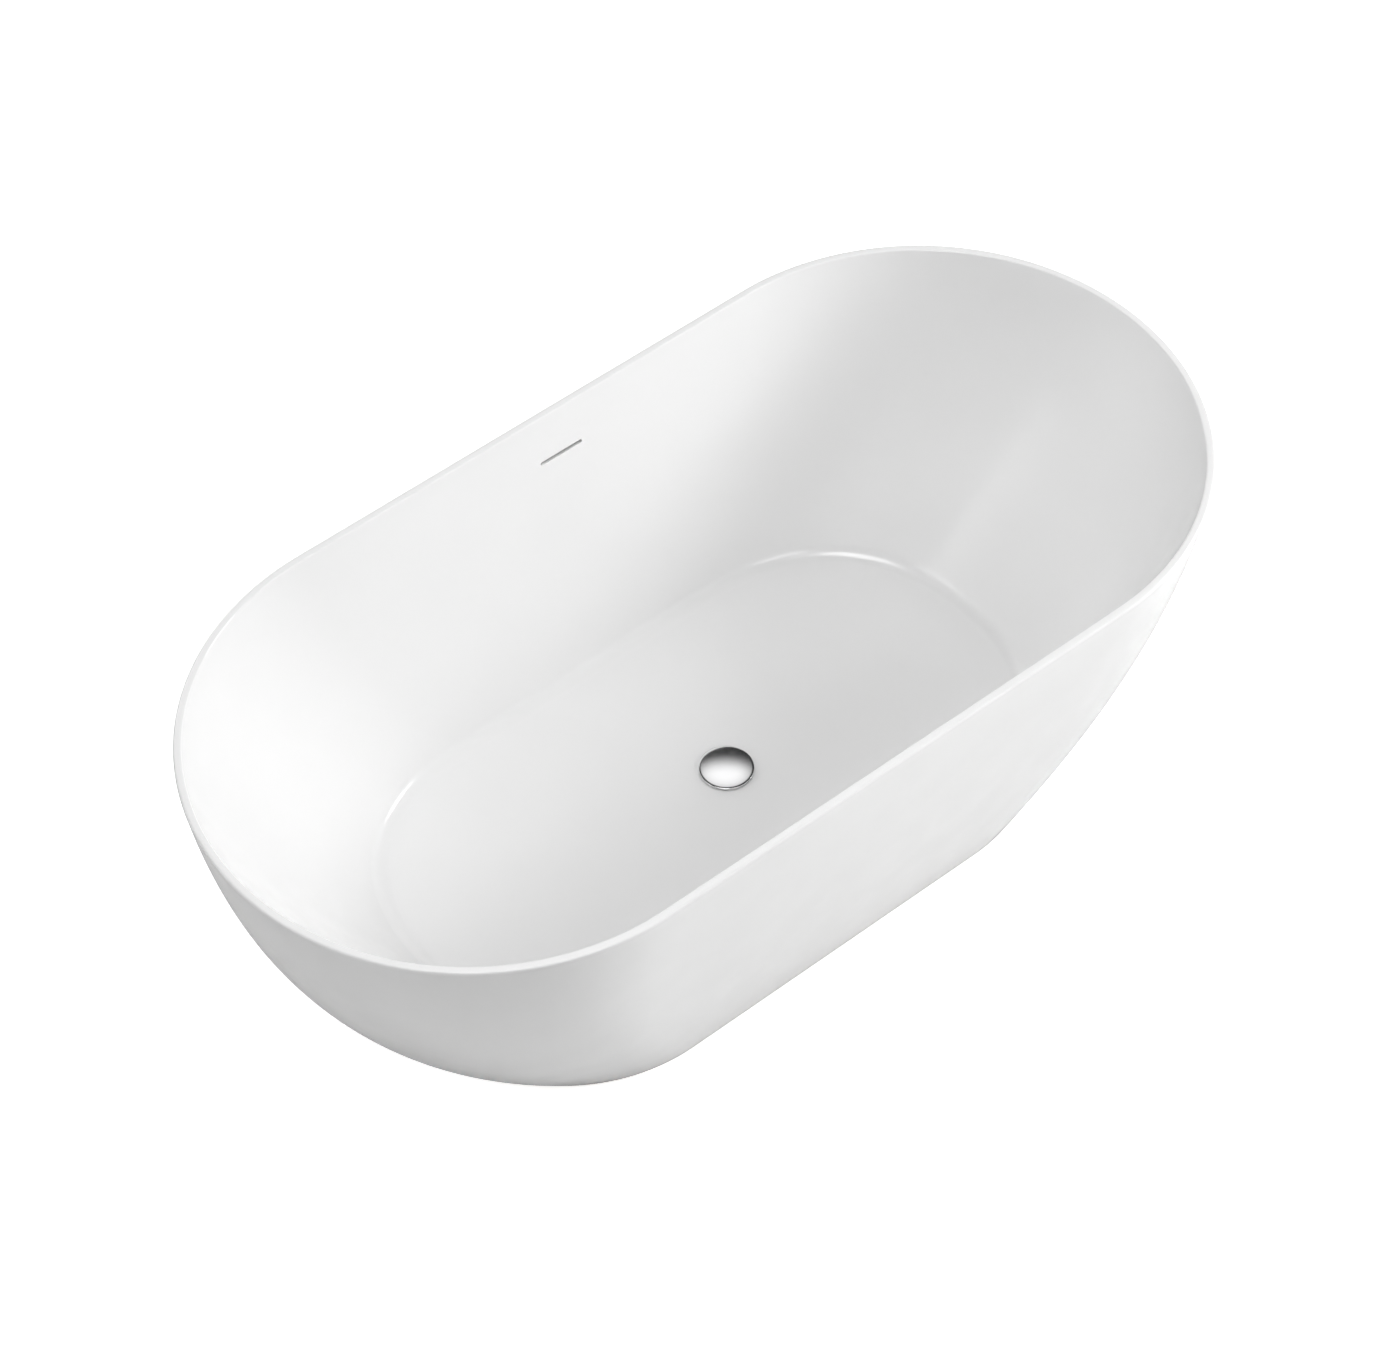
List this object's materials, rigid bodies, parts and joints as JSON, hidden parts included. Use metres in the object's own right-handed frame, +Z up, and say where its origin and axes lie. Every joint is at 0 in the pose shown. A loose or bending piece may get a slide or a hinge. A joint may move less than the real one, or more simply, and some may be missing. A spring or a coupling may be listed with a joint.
{
  "type": "freestanding bathtub",
  "caption": "Oval double-walled freestanding bathtub with a slim flat rim, sloping basin ends, centre click-clack waste, slot overflow and a tapering skirt on adjustable feet.",
  "frame": {"origin": "on the floor, under the middle of the tub", "axes": "+X along the length, towards the end the waste lies nearer; +Y towards the long side with the overflow slot; +Z up"},
  "size_m": [1.7, 0.85, 0.58],
  "materials": {
    "acrylic": "polished white sanitary acrylic",
    "laminate": "rough glass-fibre reinforced resin",
    "adhesive": "cured structural adhesive",
    "board": "resin-sealed plywood",
    "frame_steel": "powder coated steel tube",
    "plug_plastic": "moulded plugs",
    "zinc": "zinc plated",
    "chrome": "polished chrome",
    "seal_rubber": "moulded seals",
    "pad_rubber": "moulded non-slip rubber",
    "pipe_plastic": "moulded white pipe fittings",
    "hose_plastic": "corrugated flexible hose",
    "brass": "turned brass",
    "spring_steel": "spring wire",
    "clip_steel": "satin stainless steel",
    "liner_plastic": "moulded white slot liner"
  },
  "bodies": {
    "tub": {"basin_shell": "acrylic", "basin_backing": "laminate", "skirt_shell": "acrylic", "skirt_backing": "laminate", "rim_adhesive": "adhesive", "base_board": "board", "rail_left": "frame_steel", "rail_right": "frame_steel", "cross_tube_head": "frame_steel", "cross_tube_tail": "frame_steel", "tube_end_plugs": "plug_plastic", "board_screws": "zinc", "frame_bolts": "zinc", "frame_weld_nuts": "zinc", "foot_locknut_1": "zinc", "foot_locknut_2": "zinc", "foot_locknut_3": "zinc", "foot_locknut_4": "zinc", "foot_weld_nut_1": "zinc", "foot_weld_nut_2": "zinc", "foot_weld_nut_3": "zinc", "foot_weld_nut_4": "zinc", "drain_flange": "chrome", "drain_neck": "chrome", "drain_spider": "brass", "drain_upper_gasket": "seal_rubber", "drain_lower_gasket": "seal_rubber", "waste_body": "pipe_plastic", "outlet_washer": "seal_rubber", "outlet_nut": "pipe_plastic", "tail_pipe": "pipe_plastic", "click_cartridge": "brass", "cartridge_screw": "zinc", "cartridge_spring": "spring_steel", "overflow_liner": "liner_plastic", "overflow_gasket": "seal_rubber", "overflow_housing": "pipe_plastic", "overflow_duct": "pipe_plastic", "overflow_adapter": "pipe_plastic", "overflow_hose": "hose_plastic", "hose_clip_duct": "clip_steel", "hose_clip_waste": "clip_steel"},
    "stopper": {"stopper_cap": "chrome", "stopper_seal": "seal_rubber", "stopper_stem": "brass"},
    "foot_pad_1_body": {"foot_pad_1": "pad_rubber"},
    "foot_rod_1_body": {"foot_rod_1": "zinc"},
    "foot_pad_2_body": {"foot_pad_2": "pad_rubber"},
    "foot_rod_2_body": {"foot_rod_2": "zinc"},
    "foot_pad_3_body": {"foot_pad_3": "pad_rubber"},
    "foot_rod_3_body": {"foot_rod_3": "zinc"},
    "foot_pad_4_body": {"foot_pad_4": "pad_rubber"},
    "foot_rod_4_body": {"foot_rod_4": "zinc"}
  },
  "joints": [
    {"name": "stopper_lift", "type": "slide", "parent": "tub", "child": "stopper", "axis": [0, 0, 1], "range_m": [0, 0.008], "deforming": ["cartridge_spring"]},
    {"name": "foot_1_height", "type": "slide", "parent": "tub", "child": "foot_pad_1_body", "axis": [0, 0, 1], "range_m": [-0.012, 0.006]},
    {"name": "foot_1_turn", "type": "hinge", "parent": "foot_pad_1_body", "child": "foot_rod_1_body", "pos_m": [0.36, -0.205, 0.05], "axis": [0, 0, 1], "range_deg": [-2469.6, 1235.3]},
    {"name": "foot_2_height", "type": "slide", "parent": "tub", "child": "foot_pad_2_body", "axis": [0, 0, 1], "range_m": [-0.012, 0.006]},
    {"name": "foot_2_turn", "type": "hinge", "parent": "foot_pad_2_body", "child": "foot_rod_2_body", "pos_m": [0.36, 0.205, 0.05], "axis": [0, 0, 1], "range_deg": [-2469.6, 1235.3]},
    {"name": "foot_3_height", "type": "slide", "parent": "tub", "child": "foot_pad_3_body", "axis": [0, 0, 1], "range_m": [-0.012, 0.006]},
    {"name": "foot_3_turn", "type": "hinge", "parent": "foot_pad_3_body", "child": "foot_rod_3_body", "pos_m": [-0.36, 0.205, 0.05], "axis": [0, 0, 1], "range_deg": [-2469.6, 1235.3]},
    {"name": "foot_4_height", "type": "slide", "parent": "tub", "child": "foot_pad_4_body", "axis": [0, 0, 1], "range_m": [-0.012, 0.006]},
    {"name": "foot_4_turn", "type": "hinge", "parent": "foot_pad_4_body", "child": "foot_rod_4_body", "pos_m": [-0.36, -0.205, 0.05], "axis": [0, 0, 1], "range_deg": [-2469.6, 1235.3]}
  ],
  "couplings": [
    {"joint": "foot_1_turn", "follows": "foot_1_height", "rad_per_m": 3590.4},
    {"joint": "foot_2_turn", "follows": "foot_2_height", "rad_per_m": 3590.4},
    {"joint": "foot_3_turn", "follows": "foot_3_height", "rad_per_m": 3590.4},
    {"joint": "foot_4_turn", "follows": "foot_4_height", "rad_per_m": 3590.4}
  ]
}
